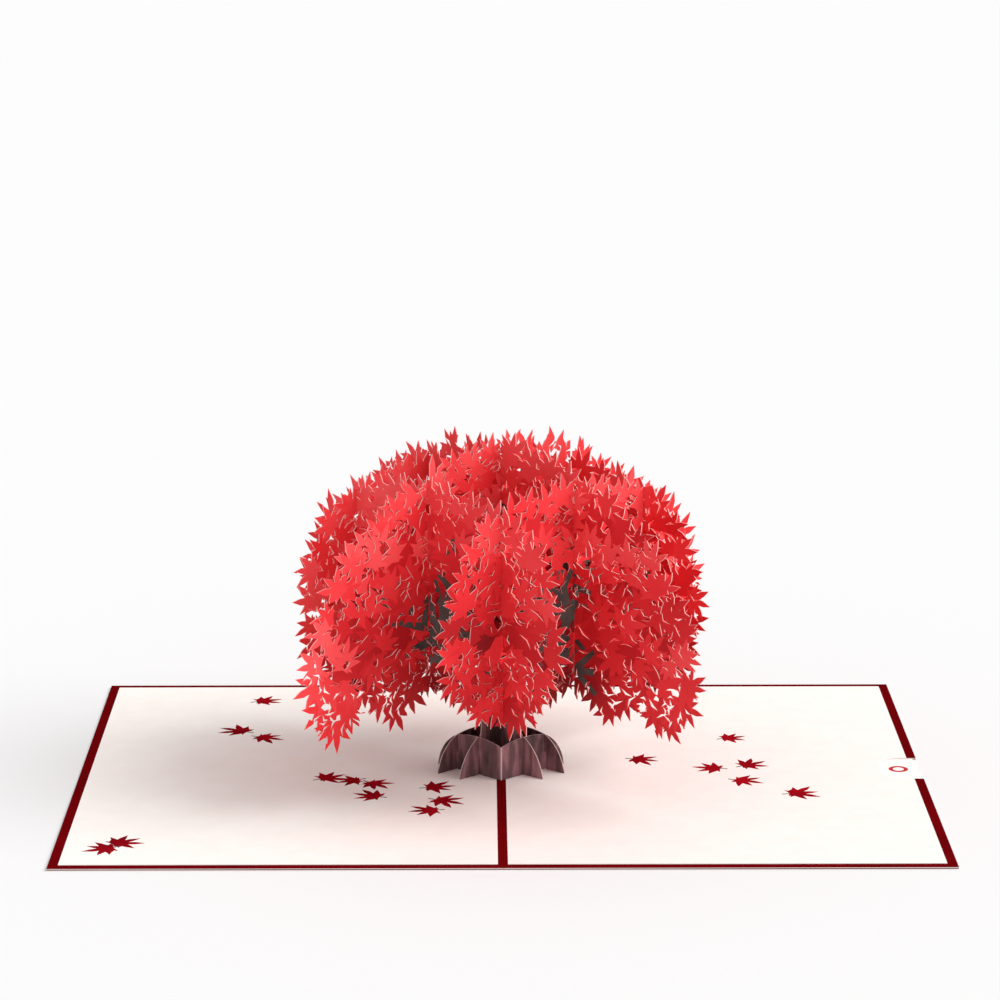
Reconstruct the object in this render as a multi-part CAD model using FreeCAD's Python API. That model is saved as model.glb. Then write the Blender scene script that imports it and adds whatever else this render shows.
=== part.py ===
"""A pop up greeting card, lying open, with a red maple tree that stands over the spine.

The card is two folded sheets, one on the other: the outer cover and an inner sheet with a
printed border. A cream liner is glued on each half of the inner sheet. A glue frame holds the
left halves together, and a U-shaped glue strip makes a pocket in the right half. A note card
lies in that pocket, and a thumb notch in the fore edge shows its end.

The tree is a lattice of slotted paper sheets. Three run one way and three the other, and they
cross nine times in half-lap slots. The middle sheet of each family has foliage, trunk and roots
in one piece. Two folded strips cross the roots and stand on the liners with tabs.

Millimetres. X runs across the spine, Y along it towards the back edge, Z is up. The origin is
on the underside of the card at the middle of the spine.
"""

import FreeCAD
import Part
import math
import os
import random

# Card
card_width = 254.0
card_depth = 178.0
cover_paper = 0.22
inner_paper = 0.20
liner_paper = 0.18
border = 2.9
spine_band = 2.8
crease_width = 0.5
crease_depth = 0.06

# Note card and its pocket
note_paper = 0.16
note_clearance = 0.04
note_spine_gap = 8.0
note_edge_gap = 13.0
note_setback = 1.0
note_corner = 4.0
note_side_gap = 0.6
glue_width = 9.0
glue_inset = 1.0
glue_spine_gap = 1.5
notch_width = 20.0
notch_depth = 12.0
notch_corner = 6.6

# Tree lattice: half diagonals of one cell, across the spine and along it
tree_paper = 0.30
cell_across = 21.3
cell_along = 18.25
root_cell_across = 6.65
lap_slot = 0.9
lap_height = 58.0
tab_clearance = 0.1

# Foliage outline of the middle sheets, to the leaf centres
middle_half = 70.5
middle_spring = 37.0
middle_rise = 61.0
middle_roundness = 2.0
middle_hanging = [(64.0, 26.5), (53.0, 36.5), (42.5, 28.0), (31.0, 36.0), (19.0, 37.0)]

# Foliage outline of the outer sheets, to the leaf centres
outer_half = 46.0
outer_spring = 46.0
outer_rise = 43.0
outer_roundness = 2.7
outer_hanging = [(40.0, 37.0), (32.5, 30.0), (22.0, 35.5), (10.0, 35.0)]

# Leaves along the outline, and slits between the leaves inside it
leaf_reach = 7.0
leaf_pitch = 11.4
leaf_lobes = [(0, 1.0), (38, 0.92), (77, 0.74), (122, 0.5)]
leaf_valley = 0.378
leaf_base = 0.252
leaf_spread = 0.1
leaf_swing = 26.0
slit_length = 5.0
slit_width = 1.5
slit_pitch = 18.5
slit_row_share = 0.75
slit_drift = 2.0
slit_spread = 0.2
slit_tilt = 70.0
slot_margin = 2.2
rim_margin = 6.0
arch_steps = 20

# Trunk and roots
trunk_half = 8.0
trunk_neck = 7.2
trunk_waist = 24.0
root_height = 12.6
root_reach = 16.5
fold_height = 10.2
fold_crown = 11.7
fold_shoulder = 10.8
fold_reach = 25.0
tab_length = 5.0
tab_place = 4.6

# Where the round edges of roots and folds bulge, as shares of their reach and height
bulge_out = 0.66
root_bulge = 0.58
fold_bulge = 0.62

# How far cutters reach past what they cut, and the tolerance for comparing positions
overcut = 1.0
same = 1e-6

cell_side = math.hypot(cell_across, cell_along)
lattice_angle = math.degrees(math.atan2(cell_along, cell_across))
root_side = cell_side * root_cell_across / cell_across
root_cell_along = root_cell_across * cell_along / cell_across
pocket_gap = note_paper + 2 * note_clearance
inner_base = cover_paper + pocket_gap
liner_base = inner_base + inner_paper
ground = liner_base + liner_paper
half_width = card_width / 2
half_depth = card_depth / 2
note_length = half_width - note_setback - note_spine_gap
note_width = card_depth - 2 * note_edge_gap


def vector(x, y, z):
    return FreeCAD.Vector(x, y, z)


def slab(x0, x1, y0, y1, z0, z1):
    return Part.makeBox(x1 - x0, y1 - y0, z1 - z0, vector(x0, y0, z0))


def polygon_face(points):
    """Flat face in the XZ plane from a list of (x, z) points."""
    corners = [vector(x, 0, z) for x, z in points]
    return Part.Face(Part.makePolygon(corners + corners[:1]))


def upright_edges(shape):
    return [edge for edge in shape.Edges
            if abs(edge.Vertexes[0].X - edge.Vertexes[1].X) < same
            and abs(edge.Vertexes[0].Y - edge.Vertexes[1].Y) < same]


def save(name, shape):
    shape.exportStep("parts/" + name + ".step")


# Card sheets


def thumb_notch(base, top):
    """Cutter for the notch: straight sides that end in a round inner edge."""
    inner = half_width - notch_depth
    outer = half_width + overcut
    y = notch_width / 2
    cutter = slab(inner, outer, -y, y, base, top)
    corners = [edge for edge in upright_edges(cutter) if abs(edge.Vertexes[0].X - inner) < same]
    return cutter.makeFillet(notch_corner, corners)


def crease(z, depth):
    """Cutter for a scored fold line along the spine, with its valley at z + depth."""
    half = crease_width / 2
    profile = [(-half, z), (0, z + depth), (half, z), (0, z - depth)]
    face = polygon_face(profile)
    face.translate(vector(0, -half_depth - overcut, 0))
    return face.extrude(vector(0, card_depth + 2 * overcut, 0))


def foot_slits():
    """Slits that the tree's tabs go through, as one cutter from the cover up."""
    cutters = []
    opening = tree_paper + 2 * tab_clearance
    half = tab_length / 2 + tab_clearance
    for side in (-1, 1):
        for turn in (-1, 1):
            cutter = slab(-half, half, -opening / 2, opening / 2, cover_paper,
                          ground + overcut)
            cutter.translate(vector(turn * tab_place, 0, 0))
            cutters.append(on_root_fold(cutter, side, turn))
    return cutters[0].multiFuse(cutters[1:])


def folded_sheet(z0, z1, crease_z):
    sheet = slab(-half_width, half_width, -half_depth, half_depth, z0, z1)
    sheet = sheet.cut(thumb_notch(z0 - overcut, z1 + overcut))
    return sheet.cut(crease(crease_z, crease_depth))


def cover():
    return folded_sheet(0, cover_paper, 0)


def inner_sheet():
    return folded_sheet(inner_base, liner_base, liner_base).cut(foot_slits())


def liner(side):
    """Cream panel on one half: side is -1 for the left and 1 for the right."""
    x0 = spine_band / 2
    x1 = half_width - border
    y = half_depth - border
    panel = slab(min(side * x0, side * x1), max(side * x0, side * x1), -y, y, liner_base, ground)
    if side > 0:
        panel = panel.cut(thumb_notch(liner_base - overcut, ground + overcut))
    return panel.cut(foot_slits())


def left_glue_frame():
    x0 = -half_width + glue_inset
    x1 = -glue_spine_gap
    y = half_depth - glue_inset
    frame = slab(x0, x1, -y, y, cover_paper, inner_base)
    window = slab(x0 + glue_width, x1 - glue_width, -y + glue_width, y - glue_width,
                  cover_paper - overcut, inner_base + overcut)
    return frame.cut(window).cut(foot_slits())


def pocket_glue_strip():
    """U-shaped strip, open at the fore edge, that the note card slides between."""
    y = half_depth - glue_inset
    strip = slab(glue_spine_gap, half_width - glue_inset, -y, y, cover_paper, inner_base)
    inside = note_width / 2 + note_side_gap
    pocket = slab(note_spine_gap - note_side_gap, half_width + overcut, -inside, inside,
                  cover_paper - overcut, inner_base + overcut)
    return strip.cut(pocket).cut(foot_slits())


def note_card():
    z = cover_paper + note_clearance
    y = note_width / 2
    card = slab(note_spine_gap, note_spine_gap + note_length, -y, y, z, z + note_paper)
    return card.makeFillet(note_corner, upright_edges(card))


# Tree sheets, drawn flat in the XZ plane with x along the sheet


def leaf(x, z, turn, reach):
    """Seven-lobed maple leaf; turn is the way its middle lobe points, in degrees."""
    points = []
    last = None
    order = [(-a, r) for a, r in reversed(leaf_lobes[1:])] + leaf_lobes
    for angle, radius in order:
        if last is not None:
            points.append((0.5 * (last + angle), leaf_valley))
        points.append((angle, radius))
        last = angle
    points.append((180, leaf_base))
    corners = []
    for angle, radius in points:
        a = math.radians(turn + angle)
        corners.append((x + reach * radius * math.cos(a), z + reach * radius * math.sin(a)))
    return polygon_face(corners)


def rim(half, spring, rise, roundness, hanging):
    """Closed line of leaf centres: over the top from right to left, then under to the right."""
    line = []
    for i in range(arch_steps + 1):
        a = math.pi * i / arch_steps
        c = math.cos(a)
        x = math.copysign(half * abs(c) ** (2 / roundness), c)
        line.append((x, spring + rise * math.sin(a) ** (2 / roundness)))
    left = [(-x, z) for x, z in hanging]
    return line + left + list(reversed(hanging))


def evenly(line, pitch):
    """Points at equal steps round a closed line, each with its outward direction in degrees."""
    points = line + line[:1]
    lengths = [math.dist(points[i], points[i + 1]) for i in range(len(points) - 1)]
    total = sum(lengths)
    count = round(total / pitch)
    found = []
    for k in range(count):
        want = total * (k + 0.5) / count
        i = 0
        while want > lengths[i]:
            want -= lengths[i]
            i += 1
        (x0, z0), (x1, z1) = points[i], points[i + 1]
        t = want / lengths[i]
        along = math.degrees(math.atan2(z1 - z0, x1 - x0))
        found.append((x0 + t * (x1 - x0), z0 + t * (z1 - z0), along - 90))
    return found


def slit(x, z, turn, length):
    """Small pointed slit, as cut between two leaves."""
    corners = []
    for angle, radius in ((0, length / 2), (90, slit_width / 2), (180, length / 2),
                          (270, slit_width / 2)):
        a = math.radians(turn + angle)
        corners.append((x + radius * math.cos(a), z + radius * math.sin(a)))
    return polygon_face(corners)


def slit_places(half, spring, rise, roundness, draw):
    """Staggered rows of slit centres that keep inside the rim and off the lap slots."""
    places = []
    z = spring - slit_pitch / 2
    row = 0
    while z < spring + rise:
        reach = max(0.0, 1 - max(0.0, (z + rim_margin - spring) / rise) ** roundness)
        wide = half * reach ** (1 / roundness) - rim_margin
        count = int(wide / slit_pitch) + 1
        for i in range(-count, count + 1):
            x = (i + 0.5 * (row % 2)) * slit_pitch + draw.uniform(-slit_drift, slit_drift)
            clear = min(abs(x - k * cell_side) for k in (-1, 0, 1))
            if abs(x) < wide and clear > slot_margin + slit_length / 2:
                places.append((x, z))
        z += slit_pitch * slit_row_share
        row += 1
    return places


def lap(x, z0, z1):
    """Half-lap slot centred on x, from z0 to z1."""
    half = lap_slot / 2
    return polygon_face([(x - half, z0), (x + half, z0), (x + half, z1), (x - half, z1)])


def foliage_lap(x, from_below):
    middle = ground + lap_height
    return lap(x, 0, middle) if from_below else lap(x, middle, middle + middle_rise)


def cut_sheet(pieces, holes):
    """One paper sheet: flat pieces joined and extruded, holes cut, scraps that fall out dropped."""
    face = pieces[0].multiFuse(pieces[1:]).removeSplitter()
    face = face.cut(Part.makeCompound(holes))
    solid = face.extrude(vector(0, tree_paper, 0))
    solid.translate(vector(0, -tree_paper / 2, 0))
    return max(solid.Solids, key=lambda piece: piece.Volume)


def foliage(half, spring, rise, roundness, hanging, bare, from_below, draw):
    """Flat pieces and holes of the foliage; no leaf hangs within the bare width at the trunk."""
    line = rim(half, spring, rise, roundness, hanging)
    pieces = [polygon_face(line)]
    for x, z, outward in evenly(line, leaf_pitch):
        if abs(x) > bare or z > spring:
            turn = outward + draw.uniform(-leaf_swing, leaf_swing)
            size = draw.uniform(1 - leaf_spread, 1 + leaf_spread)
            pieces.append(leaf(x, z, turn, leaf_reach * size))
    holes = [foliage_lap(k * cell_side, from_below) for k in (-1, 0, 1)]
    for x, z in slit_places(half, spring, rise, roundness, draw):
        turn = 90 + draw.uniform(-slit_tilt, slit_tilt)
        size = draw.uniform(1 - slit_spread, 1 + slit_spread)
        holes.append(slit(x, z, turn, slit_length * size))
    return pieces, holes


def outer_sheet(from_below, draw):
    """Foliage alone, with three half-lap slots."""
    pieces, holes = foliage(outer_half, outer_spring, outer_rise, outer_roundness, outer_hanging,
                            0, from_below, draw)
    return cut_sheet(pieces, holes)


def middle_sheet(from_below, draw):
    """Foliage, trunk and roots in one piece."""
    bare = trunk_half + leaf_reach
    pieces, holes = foliage(middle_half, middle_spring, middle_rise, middle_roundness,
                            middle_hanging, bare, from_below, draw)
    pieces.append(trunk_and_roots())
    crown = ground + fold_crown
    for side in (-1, 1):
        holes.append(lap(side * root_side, ground + fold_crown / 2, crown + 2 * overcut))
    return cut_sheet(pieces, holes)


def trunk_and_roots():
    """Trunk of a middle sheet with a round root fin at each side of its foot."""
    shoulder = ground + root_height
    top = middle_spring + leaf_reach
    fin = root_reach - trunk_half
    bend = (trunk_half + bulge_out * fin, ground + root_bulge * root_height)
    right = Part.Arc(vector(root_reach, 0, ground), vector(bend[0], 0, bend[1]),
                     vector(trunk_half, 0, shoulder)).toShape()
    left = Part.Arc(vector(-trunk_half, 0, shoulder), vector(-bend[0], 0, bend[1]),
                    vector(-root_reach, 0, ground)).toShape()
    trunk = Part.makePolygon([vector(trunk_half, 0, shoulder), vector(trunk_neck, 0, trunk_waist),
                              vector(trunk_half, 0, top), vector(-trunk_half, 0, top),
                              vector(-trunk_neck, 0, trunk_waist), vector(-trunk_half, 0, shoulder)])
    foot = Part.makeLine(vector(-root_reach, 0, ground), vector(root_reach, 0, ground))
    return Part.Face(Part.Wire([foot, right] + trunk.Edges + [left]))


def stand_on_lattice(sheet, family, row):
    """Turn a flat sheet to its family's direction and move it to its row, -1 to 1."""
    turn = lattice_angle if family == "b" else -lattice_angle
    sheet.rotate(vector(0, 0, 0), vector(0, 0, 1), turn)
    back = -1 if family == "b" else 1
    sheet.translate(vector(row * cell_across, row * back * cell_along, 0))
    return sheet


# Root folds


def on_root_fold(piece, side, turn):
    """Place a flat piece on a wing: x from the ridge, side -1 front or 1 back, turn -1 left."""
    piece.rotate(vector(0, 0, 0), vector(0, 0, 1), -side * turn * lattice_angle)
    piece.translate(vector(0, side * 2 * root_cell_along, 0))
    return piece


def root_wing(side, turn):
    """Half of a root fold: rises from the ridge to a crown and rounds down to its end."""
    high = ground + fold_height
    past = -turn * tree_paper
    meet = 2 * root_side
    crown = vector(turn * root_side, 0, ground + fold_crown)
    shoulder = vector(turn * meet, 0, ground + fold_shoulder)
    bend = vector(turn * (meet + bulge_out * (fold_reach - meet)), 0,
                  ground + fold_bulge * fold_shoulder)
    end = vector(turn * fold_reach, 0, ground)
    top = Part.Arc(vector(0, 0, high), crown, shoulder).toShape()
    fall = Part.Arc(shoulder, bend, end).toShape()
    rest = Part.makePolygon([end, vector(past, 0, ground), vector(past, 0, high), vector(0, 0, high)])
    face = Part.Face(Part.Wire([top, fall] + rest.Edges))
    wing = face.extrude(vector(0, tree_paper, 0))
    wing.translate(vector(0, -tree_paper / 2, 0))
    middle = turn * tab_place
    tab = slab(middle - tab_length / 2, middle + tab_length / 2, -tree_paper / 2, tree_paper / 2,
               cover_paper, ground + tree_paper)
    wing = wing.fuse(tab)
    half = ground + fold_shoulder / 2
    far_lap = lap(turn * meet, half, ground + card_depth) if side < 0 else lap(turn * meet, 0, half)
    for opening in (lap(turn * root_side, 0, ground + fold_crown / 2), far_lap):
        cutter = opening.extrude(vector(0, 2 * tree_paper, 0))
        cutter.translate(vector(0, -tree_paper, 0))
        wing = wing.cut(cutter)
    wing = on_root_fold(wing, side, turn)
    beyond = slab(0, card_depth, -card_depth, card_depth, -overcut, card_depth)
    if turn > 0:
        beyond.translate(vector(-card_depth, 0, 0))
    return wing.cut(beyond)


def root_fold(side):
    """Strip folded once at its ridge; side is -1 for the front one and 1 for the back one."""
    return root_wing(side, -1).fuse(root_wing(side, 1)).removeSplitter()


os.makedirs("parts", exist_ok=True)

save("cover", cover())
save("inner_sheet", inner_sheet())
save("left_liner", liner(-1))
save("right_liner", liner(1))
save("left_glue_frame", left_glue_frame())
save("pocket_glue_strip", pocket_glue_strip())
save("note_card", note_card())

row_names = {-1: "left", 0: "middle", 1: "right"}
for family in ("a", "b"):
    for row, place in row_names.items():
        draw = random.Random(family + place)
        make = middle_sheet if row == 0 else outer_sheet
        sheet = make(family == "a", draw)
        save("foliage_" + family + "_" + place, stand_on_lattice(sheet, family, row))

save("front_root_fold", root_fold(-1))
save("back_root_fold", root_fold(1))
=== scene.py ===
"""A pop up card that lies open, with a red paper maple tree standing over its spine."""

import math
import random

import bmesh
import bpy
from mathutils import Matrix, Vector
from mathutils.geometry import delaunay_2d_cdt


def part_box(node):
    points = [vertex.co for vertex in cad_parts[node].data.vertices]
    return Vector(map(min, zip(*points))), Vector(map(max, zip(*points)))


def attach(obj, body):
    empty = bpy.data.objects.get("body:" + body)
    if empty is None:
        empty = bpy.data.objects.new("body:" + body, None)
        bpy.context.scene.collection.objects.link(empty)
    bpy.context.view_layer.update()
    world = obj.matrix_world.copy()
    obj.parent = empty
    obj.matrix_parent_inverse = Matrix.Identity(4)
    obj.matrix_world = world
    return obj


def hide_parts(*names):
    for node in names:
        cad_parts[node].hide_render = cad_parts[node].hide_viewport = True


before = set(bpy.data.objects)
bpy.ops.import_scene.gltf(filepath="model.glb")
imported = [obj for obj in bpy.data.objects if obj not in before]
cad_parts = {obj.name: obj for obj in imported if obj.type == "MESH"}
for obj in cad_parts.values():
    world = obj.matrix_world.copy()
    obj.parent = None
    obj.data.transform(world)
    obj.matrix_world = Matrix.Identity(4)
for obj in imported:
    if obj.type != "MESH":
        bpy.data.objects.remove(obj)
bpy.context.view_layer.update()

bl_info = {
    "name": "Pop Up Maple Card",
    "version": (1, 0, 0),
    "blender": (4, 5, 0),
    "location": "View3D > Sidebar > Card",
    "description": "Dresses a pop up greeting card with printed paper, foliage and roots",
    "category": "Object",
}

MM = 0.001

# The card, in millimetres
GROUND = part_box("left_liner")[1][2] / MM
LINER_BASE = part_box("left_liner")[0][2] / MM
HALF_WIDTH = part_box("cover")[1][0] / MM
SPINE_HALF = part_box("right_liner")[0][0] / MM
LINER_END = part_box("right_liner")[1][0] / MM
LINER_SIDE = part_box("right_liner")[1][1] / MM
NOTE_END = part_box("note_card")[1][0] / MM
NOTCH_HALF = 10.0
NOTCH_DEPTH = 12.0
NOTCH_CORNER = 6.6

# Steps round a corner of the notch, and how far a cut runs past an edge
NOTCH_STEPS = 8
OVERCUT = 1.0

# Plain ring on the note card: its centre's distance from the end, radius, half width and blur
RING_INSET = 5.5
RING_RADIUS = 2.3
RING_HALF = 0.65
RING_BLUR = 0.05

# The tree's lattice: half diagonals of a cell, across the spine and along it
CELL_ACROSS = 21.3
CELL_ALONG = 18.25
CELL_SIDE = math.hypot(CELL_ACROSS, CELL_ALONG)
LATTICE_ANGLE = math.atan2(CELL_ALONG, CELL_ACROSS)
ROOT_CELL_ACROSS = 6.65
ROOT_CELL_ALONG = ROOT_CELL_ACROSS * CELL_ALONG / CELL_ACROSS
ROOT_SIDE = CELL_SIDE * ROOT_CELL_ACROSS / CELL_ACROSS
ROWS = {"left": -1, "middle": 0, "right": 1}
TREE_PAPER = 0.30
LAP_SLOT = 0.9
LAP_HEIGHT = 58.0

# Slits for the root folds' tabs: half sizes, and their place from the ridge
FOOT_SLIT_HALF_LENGTH = 2.6
FOOT_SLIT_HALF_WIDTH = 0.25
TAB_PLACE = 4.6

# Steps of the arch over a foliage sheet
ARCH_STEPS = 20

# Foliage outlines to the leaf centres: half length, spring height, rise, roundness, lower edge
MIDDLE = (70.5, 37.0, 61.0, 2.0,
          [(64.0, 26.5), (53.0, 36.5), (42.5, 28.0), (31.0, 36.0), (19.0, 37.0)])
OUTER = (46.0, 46.0, 43.0, 2.7, [(40.0, 37.0), (32.5, 30.0), (22.0, 35.5), (10.0, 35.0)])

# Trunk and roots of a middle sheet
TRUNK_HALF = 8.0
TRUNK_NECK = 7.2
TRUNK_WAIST = 24.0
TRUNK_TOP = 44.0
ROOT_HEIGHT = 12.6
ROOT_REACH = 16.5
ROOT_BULGE_OUT = 0.66
ROOT_BULGE_UP = 0.58
ROOT_STEPS = 12
ROOT_EDGE_TOP = ROOT_HEIGHT * 1.5
FOLD_CROWN = 11.7

# Bare strip beside the trunk, and the height above which leaves cross it
BARE_SIDE = 4.0
FIRST_LEAF = TRUNK_TOP - 4

# Painted shade on the trunk's left side: height of its foot above the paper, and its inset there
SHADED_FOOT = 3.0
SHADED_INSET = 1.5

# Staggered rows: the distance between them and the random drift, as shares of the pitch
ROW_SHARE = 0.87
ROW_DRIFT = 0.3

# Leaves: their lobes, as degrees from the middle lobe and shares of the reach
LOBES = ((-122, 0.52), (-78, 0.78), (-39, 0.95), (0, 1.0), (39, 0.95), (78, 0.78), (122, 0.52))

# Slits between lobes: directions, share that is cut, share of low leaves with any, half widths
SLIT_WAYS = (-100, -58, -19, 19, 58, 100)
SLIT_SHARE = 0.4
LOW_SLIT_SHARE = 0.7
SLIT_HALVES = (0.28, 0.48)

# How far a rim leaf wanders and turns, and its sizes as shares of the reach that is set
RIM_WANDER = 1.0
RIM_TURN = 32
RIM_SIZES = (0.82, 1.08)

# Leaves inside and low down: turns from upright and hanging, sizes, and the low ones' pitch
UPRIGHT_TURN = 50
HANGING_TURN = 60
FIELD_SIZES = (0.8, 1.2)
LOW_PITCH = 0.8
LOW_TURN = 75
LOW_SIZES = (0.7, 1.0)

# Clusters of leaves. A tone goes from 0, the deepest red, to 1, the lightest; light and shade are painted
# into the tones
CLUSTER_PITCH = 16.0
# Painted light: the tone inside the sheet, and what is added out to the rim, as if the outer leaves catch
# more light
INNER_TONE = 0.37
RIM_TONE = 0.32
CLUSTER_SPREAD = 0.15
# Painted light and shade: CLUSTER_LIFT makes each cluster lighter at its top and darker at its foot
CLUSTER_LIFT = 0.24
CLUSTER_HALF = 8.0
LEAF_SPREAD = 0.08
LEAF_SHUFFLE = 0.45
# Painted shade: CORE_TONE is the deeper red of the card that shows between the leaves
CORE_TONE = 0.34
CORE_PITCH = 5.0
CORE_INSET = 5.5
# Painted shade low down and near the trunk, on middle and outer sheets: depth low down, depth by the
# trunk, height above the spring and reach from the trunk
MIDDLE_SHADES = (0.28, 0.30)
OUTER_SHADES = (0.10, 0.20)
SHADE_RISE = 20.0
SHADE_REACH = 42.0

# Printed branches: directions from upright in degrees, and the shares of leaves behind them
MIDDLE_SPREADS = (-68, -50, -33, -15, 4, 20, 38, 54, 70)
OUTER_SPREADS = (-58, -27, 5, 32, 60)
BRANCH_HEAD = 34.0
OUTER_BRANCH_HEAD = 40.0
BRANCH_STEPS = 5
BRANCH_LENGTHS = (0.75, 0.95)
BRANCH_BEND = 0.35
BRANCH_WIDTHS = (3.8, 1.8)
OUTER_BRANCH_WIDTHS = (2.8, 1.8)
TWIG_LENGTH = 10.0
TWIG_TURNS = (0.5, 1.0)
TWIG_WIDTHS = (3.0, 1.2)
LEAVES_BEHIND_BRANCHES = 0.38
LEAVES_BEHIND_TWIGS = 0.6

# Ragged gaps between leaves, and how far a slot from above starts over the top leaves
GAP_PITCH = 11.0
GAP_SIZES = (1.0, 2.9)
SLOT_START = 20.0

# Material slots of a foliage sheet
LEAF, BARK, EDGE, BRANCH, ROOT_EDGE = range(5)

# Material slots of a liner
PAPER, PRINT, STEM = range(3)

# Printed leaves on the liners: x, y, turn in degrees and reach, on each half
LEFT_PRINTS = [(-76.7, 70.6, 20, 7.6), (-80.7, 38.3, 152, 8.0), (-74.3, 32.0, 338, 7.4),
               (-52.9, -9.1, 28, 7.8), (-43.9, -11.0, 205, 7.2), (-38.7, -13.9, 318, 7.4),
               (-37.4, -26.2, 160, 7.4), (-20.7, -17.9, 12, 7.8), (-18.2, -30.0, 335, 7.6),
               (-20.4, -39.2, 188, 7.4), (-109.2, -67.8, 38, 8.0), (-111.6, -72.1, 205, 8.0)]
RIGHT_PRINTS = [(41.6, 8.9, 345, 7.4), (70.6, 30.1, 18, 7.0), (64.9, -0.1, 170, 7.6),
                (74.5, 2.8, 30, 7.4), (71.6, -11.8, 340, 7.4), (87.0, -24.2, 12, 8.2)]

# Stems of the printed leaves: length as a share of the leaf's reach, and widths
STEM_SHARE = 0.5
STEM_WIDTHS = (0.7, 0.5)

# Camera fitted to the photograph: place in metres, degrees down and round, lens in picture widths
CAMERA_PLACE = (-0.00644, -1.00561, 0.32728)
CAMERA_DOWN = 13.571
CAMERA_ROUND = -0.350
SENSOR_WIDTH = 36.0
LENS_WIDTHS = 3.4786

# Stage: half the floor in metres, and the light's direction, angular size and strengths
FLOOR_HALF = 4.0
SUN_TOWARDS = (1.0, -0.12, 0.88)
SUN_SPREAD = 45.0
SUN_STRENGTH = 2.12
WORLD_LIGHT = 0.66
WORLD_SEEN = 1.0


def linear(code):
    """Linear colour from an sRGB hex code."""
    values = [int(code[i:i + 2], 16) / 255 for i in (1, 3, 5)]
    return [v / 12.92 if v <= 0.04045 else ((v + 0.055) / 1.055) ** 2.4 for v in values] + [1.0]


# Flat outlines, as lists of (x, z) points in millimetres


def leaf_outline(x, z, turn, reach, draw):
    """Seven-lobed maple leaf with narrow pointed lobes; turn is its middle lobe's way."""
    points = []
    for angle, radius in LOBES:
        wave = draw.uniform(-6, 6)
        length = radius * draw.uniform(0.86, 1.1)
        for step, share in ((-19.5, 0.40), (-11, 0.66 * length), (wave * 0.5, length),
                            (12, 0.62 * length)):
            a = math.radians(turn + angle + step + wave * 0.3)
            points.append((x + reach * share * math.cos(a), z + reach * share * math.sin(a)))
    a = math.radians(turn + 180)
    points.append((x + reach * 0.2 * math.cos(a), z + reach * 0.2 * math.sin(a)))
    return points


def lobe_slits(x, z, turn, reach, draw):
    """Narrow cuts between the lobes of a leaf, some straight and some bent."""
    cuts = []
    for way in SLIT_WAYS:
        if draw.random() < SLIT_SHARE:
            a = math.radians(turn + way)
            b = a + draw.uniform(-0.25, 0.25)
            half = draw.uniform(*SLIT_HALVES)
            near, far = 0.42 * reach, draw.uniform(0.75, 1.12) * reach
            bend = 0.5 * (near + far)
            knee = (x + bend * math.cos(b), z + bend * math.sin(b))
            cuts.append([(x + near * math.cos(a), z + near * math.sin(a)),
                         (knee[0] + half * math.sin(a), knee[1] - half * math.cos(a)),
                         (x + far * math.cos(a), z + far * math.sin(a)),
                         (knee[0] - half * math.sin(a), knee[1] + half * math.cos(a))])
    return cuts


def gap_outline(x, z, size, draw):
    """Ragged opening between leaves."""
    count = draw.choice((4, 5, 6, 7))
    start = draw.uniform(0, math.tau)
    points = []
    for i in range(count):
        a = start + math.tau * i / count + draw.uniform(-0.2, 0.2)
        radius = size * draw.uniform(0.35, 1.0)
        points.append((x + radius * math.cos(a), z + radius * math.sin(a)))
    return points


def branch_outline(points, width0, width1):
    """Tapering stroke along a few points, uneven as a branch is."""
    left, right = [], []
    for i, (x, z) in enumerate(points):
        x0, z0 = points[max(0, i - 1)]
        x1, z1 = points[min(len(points) - 1, i + 1)]
        length = math.dist((x0, z0), (x1, z1))
        nx, nz = -(z1 - z0) / length, (x1 - x0) / length
        w = 0.5 * (width0 + (width1 - width0) * i / (len(points) - 1)) * (1.25 if i % 2 else 0.85)
        left.append((x + nx * w, z + nz * w))
        right.append((x - nx * w, z - nz * w))
    return right + left[::-1]


def slot_outline(x, z0, z1):
    """Half-lap slot centred on x, from z0 to z1."""
    half = LAP_SLOT / 2
    return [(x - half, z0), (x + half, z0), (x + half, z1), (x - half, z1)]


def rim(half, spring, rise, roundness, hanging):
    """Closed line of leaf centres: over the top from right to left, then under to the right."""
    line = []
    for i in range(ARCH_STEPS + 1):
        a = math.pi * i / ARCH_STEPS
        c = math.cos(a)
        x = math.copysign(half * abs(c) ** (2 / roundness), c)
        line.append((x, spring + rise * math.sin(a) ** (2 / roundness)))
    return line + [(-x, z) for x, z in hanging] + list(reversed(hanging))


def evenly(line, pitch):
    """Points at equal steps round a closed line, each with its outward direction in degrees."""
    points = line + line[:1]
    lengths = [math.dist(points[i], points[i + 1]) for i in range(len(points) - 1)]
    total = sum(lengths)
    count = round(total / pitch)
    found = []
    for k in range(count):
        want = total * (k + 0.5) / count
        i = 0
        while want > lengths[i]:
            want -= lengths[i]
            i += 1
        (x0, z0), (x1, z1) = points[i], points[i + 1]
        t = want / lengths[i]
        along = math.degrees(math.atan2(z1 - z0, x1 - x0))
        found.append((x0 + t * (x1 - x0), z0 + t * (z1 - z0), along - 90))
    return found


def inset(line, pitch, depth):
    """Closed line moved inwards."""
    moved = []
    for x, z, outward in evenly(line, pitch):
        a = math.radians(outward)
        moved.append((x - depth * math.cos(a), z - depth * math.sin(a)))
    return moved


def inside(x, z, line):
    """Whether a point is inside a closed line."""
    within = False
    for (x0, z0), (x1, z1) in zip(line, line[1:] + line[:1]):
        if (z0 > z) != (z1 > z) and x < x0 + (z - z0) * (x1 - x0) / (z1 - z0):
            within = not within
    return within


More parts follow.
